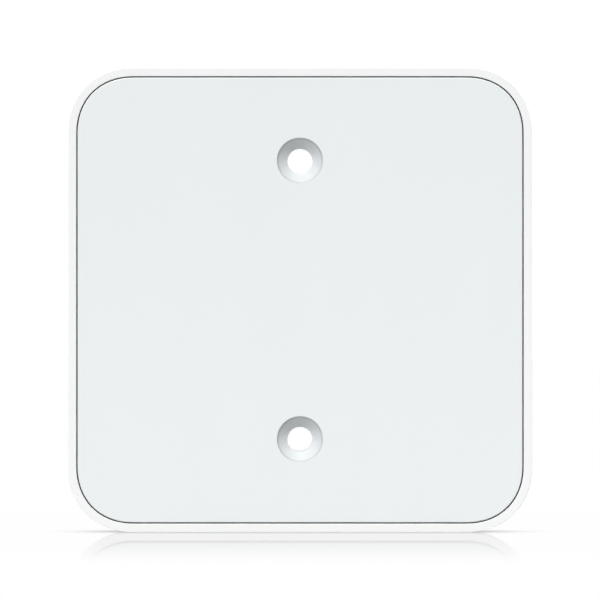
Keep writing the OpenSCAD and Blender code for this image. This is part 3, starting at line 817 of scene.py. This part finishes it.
def case_shell():
    outer, inner = EDGE - SEAM, OPENING - SEAM
    ledge_z, ledge_in = gasket.z0, OPENING - SEAM - LEDGE_W
    foot, rim, lip, fillet = 0.35, 0.14, 0.16, 0.25  # edge radii
    slope = 0.6  # how much thicker the ledge is at the wall
    profile = arc(outer - foot, foot, foot, -90, 0)
    profile += arc(outer - rim, FRONT - rim, rim, 0, 90, 6)
    profile += arc(inner + lip, FRONT - lip, lip, 90, 180)
    profile += [(inner, ledge_z)]
    profile += arc(ledge_in + fillet, ledge_z - fillet, fillet, 90, 180)
    profile += [(ledge_in, ledge_z - LEDGE_T), (inner, ledge_z - LEDGE_T - slope)]
    profile += arc(inner + foot, foot, foot, 180, 270)
    shell = tower(soft_square, profile, closed=True)

    boss_r, under_ledge, pilot_r, pilot_l = 3.4, 1.1, 1.05, 9
    boss_top = ledge_z - LEDGE_T - under_ledge
    bosses = at_corners(lambda: slab(round_hole(boss_r), BOARD_SIDE, boss_top, 0.2, 0.3), SCREW_AT, SCREW_AT)
    pilots = at_corners(lambda: slab(round_hole(pilot_r, 24), -1, BOARD_SIDE + pilot_l), SCREW_AT, SCREW_AT)
    rib_half, rib_low, rib_high, into_wall = 0.8, 0.2, 0.4, 0.4
    rib_in = SCREW_AT * math.sqrt(2)
    rib_out = (SEAM - CORNER_REACH) * math.sqrt(2) + CORNER_REACH - into_wall
    rib_z0, rib_z1 = BOARD_SIDE + rib_low, boss_top - rib_high
    ribs = [moved(block(rib_in, rib_out, -rib_half, rib_half, rib_z0, rib_z1), turn=quarter_turn(k + 0.5))
            for k in range(4)]

    tall, past_wall = 20, 1.2
    groove_y0, groove_y1, groove_end = 0.5, 1.3, 0.15
    notch_w, notch_z = cover.h - 2 * TONGUE + 2 * ROOM, cover.z1 + ROOM
    notch = recess(rounded(notch_w, tall, 0.3), WALL + past_wall, 0.2)
    notch = moved(notch, -EDGE, 0, notch_z - tall / 2, ONTO_LEFT)
    groove_half = notch_w / 2 + TONGUE
    groove = block(-EDGE + groove_y0, -EDGE + groove_y1, -groove_half, groove_half, -1, notch_z - groove_end)
    bm = combine(shell, ("add", bosses), ("add", ribs), ("cut", pilots + list(side_vents())),
                 ("cut", [notch]), ("cut", [groove]))
    piece("case_shell", bm, "housing")


def countersink():
    """The cutter for one screw hole, from behind its boss to the face, with a steep step at its mouth."""
    cone, lip, behind = SINK_R - HOLE_R, 0.1, 0.3
    step_w, step_h, flare = 0.3, 0.6, 0.9
    mouth = cone + lip * flare
    profile = [(behind, sleeve.z1 - 1), (behind, sleeve.z1), (0, sleeve.z1 + behind), (0, FRONT - cone)]
    profile += [(cone - step_w, FRONT - step_h)]
    profile += arc(mouth, FRONT - lip, lip, 160, 90, 5)
    profile += [(mouth, FRONT + 1)]
    return tower(round_hole(HOLE_R, 128), profile)


def face_panel():
    rim, back = panel.w / 2 - SEAM, gasket.z1
    edge, foot = 0.22, 0.1
    profile = [(rim - foot, back), (rim, back + foot)] + arc(rim - edge, FRONT - edge, edge, 0, 90, 5)
    sunk = back + 0.4  # where the pieces behind the panel end inside it
    out, skirt_t, ease = OPENING - SEAM - LEDGE_W - ROOM, 1.2, 0.2
    skirt = tower(soft_square, [(out - skirt_t, sunk), (out - skirt_t, panel.z0 + ease),
                                (out - skirt_t + ease, panel.z0), (out - ease, panel.z0),
                                (out, panel.z0 + ease), (out, sunk)], closed=True)
    boss_r, pipe_boss_r, pipe_boss_l = 6.5, 3, 2
    bosses = at_holes(lambda: slab(round_hole(boss_r, 96), sleeve.z1, sunk, 0.25))
    bosses.append(slab(round_hole(pipe_boss_r, 48), back - pipe_boss_l, sunk, 0.2))
    reach, hook_w, hook_at = SEAM + out, 8, 24
    barb = [(-1.0, 0.05), (0.1, 0.05), (0.6, 0.6), (0.6, 0.7), (0.4, 0.75), (-1.0, 0.75)]
    section = [(reach + y, panel.z0 + z) for y, z in barb]
    hooks = [moved(prism(section, at - hook_w / 2, at + hook_w / 2), turn=quarter_turn(k))
             for k in range(4) for at in (-hook_at, hook_at)]
    rib_half, rib_h, rib_end = 0.5, 0.8, reach - 0.6
    ribs = [block(x - rib_half, x + rib_half, -rib_end, rib_end, back - rib_h, sunk)
            for x in (-30, -15, 15, 30)]
    pipe_r, skin = 1.6, 0.7
    pipe_seat = slab(round_hole(pipe_r, 48), back - 2 * pipe_boss_l, FRONT - skin)
    bm = combine(tower(soft_square, profile), ("add", [skirt, *bosses]), ("add", hooks + ribs),
                 ("cut", [*at_holes(countersink), pipe_seat]))
    piece("face_panel", bm, "front_panel")


def seam_gasket():
    out, inner, ease = gasket.w / 2 - SEAM, OPENING - SEAM - LEDGE_W + 0.1, 0.12
    z0, z1 = gasket.z0, gasket.z1
    profile = [(out - ease, z0), (out, z0 + ease), (out, z1 - ease), (out - ease, z1),
               (inner + ease, z1), (inner, z1 - ease), (inner, z0 + ease), (inner + ease, z0)]
    piece("seam_gasket", tower(soft_square, profile, closed=True), "panel_gasket")


def pocket_shapes(sunk):
    """The cable pocket and its channel: what stands on the plate round them, and what is cut from it."""
    wall, floor, bend, channel_wall = 1.4, 1.2, 0.5, 1.2
    hollow = rounded(pocket.w + 2 * ROOM, pocket.h + 2 * ROOM, 2, 8)
    pocket_z, channel_z = pocket.z1 + ROOM, channel.z1 + ROOM
    roof = arc(wall - bend, pocket_z + floor - bend, bend, 0, 90)
    pocket_walls = moved(tower(hollow, [(wall, sunk), *roof]), pocket.x)
    channel_h, inset = channel.h + 2 * ROOM, 0.05
    half = channel_h / 2 + channel_wall
    channel_walls = block(-plate.w / 2 + inset, pocket.x0, -half, half, sunk - 0.5, channel_z + floor)
    pocket_cut = moved(recess(hollow, pocket_z - BASE_Z0, 0.5, 0.8), pocket.x, 0, BASE_Z0)
    channel_l, channel_x, lip, channel_edge = 24, -48, 0.35, 0.29
    channel_cut = recess(rounded(channel_l, channel_h, 0.3), channel_z - BASE_Z0, lip, channel_edge)
    channel_cut = moved(channel_cut, channel_x, 0, BASE_Z0)
    inside, past_jack, over_board = 0.5, 3, 0.5
    mouth = block(pocket.x1 - inside, pocket.x1 + past_jack, jack.y0 - ROOM, jack.y1 + ROOM,
                  jack.z0 - ROOM, board.z0 + over_board)
    return pocket_walls, channel_walls, pocket_cut, channel_cut, mouth


def back_plate():
    sunk = BOARD_SIDE - 0.5  # where the pieces on the plate start inside it
    pocket_walls, channel_walls, pocket_cut, channel_cut, mouth = pocket_shapes(sunk)
    socket_r, socket_h, stud_r = 5.75, 4.8, 2.5
    collar_wall, collar_h = 1.2, 4.5
    collar_r = button.w / 2 + collar_wall
    posts = at_holes(lambda: slab(round_hole(socket_r), sunk, BOARD_SIDE + socket_h, 0, 0.3))
    posts += at_corners(lambda: slab(round_hole(stud_r, 48), sunk, board.z0, 0, 0.2), STUD_X, STUD_Y)
    collar = slab(round_hole(collar_r, 48), sunk, BOARD_SIDE + collar_h, 0, 0.2)
    posts.append(moved(collar, button.x, button.y))

    sleeve_gap, sleeve_depth = 0.05, 9
    pilot_r, pilot_l, flange_w = 0.85, 7, 0.7
    bore_r = sleeve.w / 2 + sleeve_gap
    cuts = at_holes(lambda: moved(recess(round_hole(bore_r), sleeve_depth, 0.3), z=BASE_Z0))
    cuts += at_corners(lambda: moved(recess(round_hole(HEAD_SINK_R), HEAD_SINK, 0.2, 0.1), z=BASE_Z0),
                       SCREW_AT, SCREW_AT)
    cuts += at_corners(lambda: slab(round_hole(pilot_r, 24), board.z0 - pilot_l, board.z0 + 1),
                       STUD_X, STUD_Y)
    pen_hole = recess(round_hole(button.w / 2 - flange_w, 48), 5, 0.25)
    cuts.append(moved(pen_hole, button.x, button.y, BASE_Z0))
    vent_w, vent_l, vent_y, deep, lip = 1.6, 17, 28, 4, 0.35
    first, pitch, count = 10.5, 3.4, 8
    slot = rounded(vent_w, vent_l, vent_w / 2 - FULLY_ROUND)
    cuts += [moved(recess(slot, deep, lip), side * (first + k * pitch), vent_y, BASE_Z0)
             for side in (-1, 1) for k in range(count)]

    shank_r, pad_gap, guide_l = 1.4, 0.1, 6
    deeper = at_corners(lambda: slab(round_hole(shank_r, 32), 1, BOARD_SIDE + 1), SCREW_AT, SCREW_AT)
    well_r, well_depth = PAD_R + pad_gap, pad.z1 - BASE_Z0
    deeper += at_corners(lambda: moved(recess(round_hole(well_r), well_depth, 0.15), z=BASE_Z0),
                         pad.x1 - PAD_R, pad.y1 - PAD_R)
    guide = slab(round_hole(button.w / 2 + ROOM, 48), BOARD_SIDE, BOARD_SIDE + guide_l)
    deeper.append(moved(guide, button.x, button.y))
    bm = combine(slab(soft_square_at(plate.w / 2 - SEAM), BASE_Z0, BOARD_SIDE, 0.3, 0.15),
                 ("add", [pocket_walls, *posts]), ("add", [channel_walls]),
                 ("cut", [pocket_cut]), ("cut", [channel_cut, mouth, *cuts]), ("cut", deeper))
    piece("back_plate", bm, "base_plate")


def case_screws():
    seat = BASE_Z0 + HEAD_SINK
    head_r, head_h, flat_r, under, bevel = 2.4, 1.1, 0.76, 0.1, 0.15
    dome_w, dome_h, dome_z = 0.9, 0.72, 0.35
    shank_r, length, pitch, point = 1.0, 8.4, 0.9, 0.5
    arm_l, arm_w, arm_r, arm_depth = 2.6, 0.5, 0.12, 0.75
    thread = [(0, -0.3), (0.16, -0.08), (0.16, 0.04), (0, 0.2)]
    head_w = head_r - shank_r

    def one():
        """A domed head with a cross recess, over a threaded shank that ends in a short point."""
        profile = [(flat_r - shank_r, seat - head_h)]
        profile += [(head_w - dome_w + dome_w * math.sin(a), seat - dome_z - dome_h * math.cos(a))
                    for a in (math.radians(15 * k) for k in range(1, 7))]
        profile += [(head_w, seat - under), (head_w - bevel, seat), (0, seat)]
        for k in range(1, int(length / pitch)):
            profile += [(out, seat + k * pitch + z) for out, z in thread]
        profile += [(0, seat + length - point), (-point, seat + length)]
        arms = [moved(recess(rounded(arm_l, arm_w, arm_r, 3), arm_depth, 0.06, 0.1), z=seat - head_h,
                      turn=quarter_turn(k)) for k in (0, 1)]
        return combine(tower(round_hole(shank_r, 48), profile), ("cut", arms[:1]), ("cut", arms[1:]))

    piece("case_screws", merged(at_corners(one, SCREW_AT, SCREW_AT)), "housing_screws")


def exit_cover():
    half, top = cover.h / 2 - TONGUE, cover.z1
    door = block(cover.x0, cover.x1, -half, half, cover.z0, top, 0.22)
    runner_y0, runner_y1, runner_end = 0.6, 1.2, 0.2
    runner = block(-EDGE + runner_y0, -EDGE + runner_y1, cover.y0, cover.y1, cover.z0, top - runner_end, 0.08)
    grip_l, grip_w, grip_r, grip_depth = 5, 0.5, 0.24, 0.35
    first, pitch = 1.85, 1.2
    grips = [moved(recess(rounded(grip_l, grip_w, grip_r), grip_depth, 0.1, 0.1), cover.x0, 0,
                   first + pitch * k, ONTO_LEFT) for k in range(3)]
    piece("exit_cover", combine(door, ("add", [runner]), ("cut", grips)), "cable_exit_cover")


def foot_pads():
    ease, ring_out, ring_in = 0.3, 2.4, 1.9
    deep, slope = 0.2, 0.2
    ring = [(ring_in - slope, 0), (ring_in, deep), (ring_out, deep), (ring_out + slope, 0)]
    profile = [(r - PAD_R, z) for r, z in ring] + arc(-ease, ease, ease, -90, 0) + [(0, pad.z1)]
    pads = at_corners(lambda: tower(round_hole(PAD_R), profile), pad.x1 - PAD_R, pad.y1 - PAD_R)
    piece("foot_pads", merged(pads), "rubber_pads")


def sleeves():
    out, ease, top = sleeve.w / 2, 0.25, sleeve.z1
    bore = HOLE_R - out
    profile = [(-ease, 0), (0, ease), (0, top - ease), (-ease, top),
               (bore + ease, top), (bore, top - ease), (bore, ease), (bore + ease, 0)]
    pair = at_holes(lambda: tower(round_hole(out, 96), profile, closed=True))
    piece("spacer_sleeves", merged(pair), "screw_sleeves")


def pen_button():
    flange_r, flange_t, flange_edge, stem_in = button.w / 2, 1, 0.1, 0.5
    r, dish, ease, rings = flange_r - 0.9, 0.2, 0.15, 5
    face, flange_z, wide = button.z0, BOARD_SIDE + 0.1, flange_r - r
    profile = [(-r * (1 - k / rings), face + dish * (1 - (k / rings) ** 2)) for k in range(1, rings)]
    profile += arc(-ease, face + ease, ease, -90, 0) + [(0, flange_z)]
    profile += arc(wide - flange_edge, flange_z + flange_edge, flange_edge, -90, 0)
    profile += arc(wide - flange_edge, flange_z + flange_t - flange_edge, flange_edge, 0, 90)
    profile += [(wide - stem_in, flange_z + flange_t), (wide - stem_in, button.z1)]
    piece("pen_button", moved(tower(round_hole(r, 48), profile), button.x, button.y), "reset_button")


def blank_label():
    bm = slab(rounded(label.w, label.h, 1, 8), label.z0, label.z1, 0.04)
    piece("blank_label", moved(bm, label.x, label.y), "rating_label")


case_shell()
face_panel()
seam_gasket()
back_plate()
case_screws()
exit_cover()
foot_pads()
sleeves()
pen_button()
blank_label()
